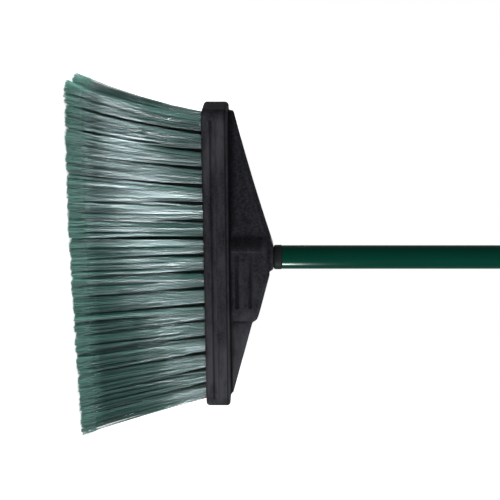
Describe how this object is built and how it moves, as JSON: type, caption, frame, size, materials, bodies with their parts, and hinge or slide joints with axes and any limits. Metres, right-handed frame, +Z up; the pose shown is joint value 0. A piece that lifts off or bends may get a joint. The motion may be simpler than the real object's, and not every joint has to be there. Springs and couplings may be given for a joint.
{
  "type": "upright broom",
  "caption": "Upright broom: a moulded head with fanned bristle tufts and a sloping boss with upright and tilted handle sockets, and a screw-in painted tube handle with a hanging eye.",
  "frame": {"origin": "middle of the bristle tips' footprint, on the floor that the trimmed bristles stand on", "axes": "+Z up the handle, +X along the head towards the tilted socket, +Y through the head's depth"},
  "size_m": [0.3366, 0.075, 1.3743],
  "materials": {
    "head_plastic": "black moulded polypropylene, satin with a fine grain",
    "bristle": "grey-green flagged synthetic filament with a soft sheen",
    "anchor_wire": "plain flat wire",
    "tip_plastic": "black moulded nylon",
    "tube_paint": "dark green gloss paint on a steel tube",
    "end_plastic": "black moulded plastic"
  },
  "bodies": {
    "head": {"head_block": "head_plastic", "bristle_row_1": "bristle", "bristle_row_2": "bristle", "bristle_row_3": "bristle", "bristle_row_4": "bristle", "tuft_anchors_1": "anchor_wire", "tuft_anchors_2": "anchor_wire", "tuft_anchors_3": "anchor_wire", "tuft_anchors_4": "anchor_wire"},
    "hang_swivel": {"hang_eye": "end_plastic"},
    "handle": {"handle_tube": "tube_paint", "threaded_tip": "tip_plastic", "end_plug": "end_plastic"}
  },
  "joints": [
    {"name": "handle_lift", "type": "slide", "parent": "head", "child": "hang_swivel", "axis": [0, 0, 1], "range_m": [0, 0.03048]},
    {"name": "handle_turn", "type": "hinge", "parent": "hang_swivel", "child": "handle", "pos_m": [0, 0, 0.2], "axis": [0, 0, 1], "range_deg": [0, 2160]}
  ],
  "couplings": [
    {"joint": "handle_turn", "follows": "handle_lift", "rad_per_m": 1236.8}
  ]
}
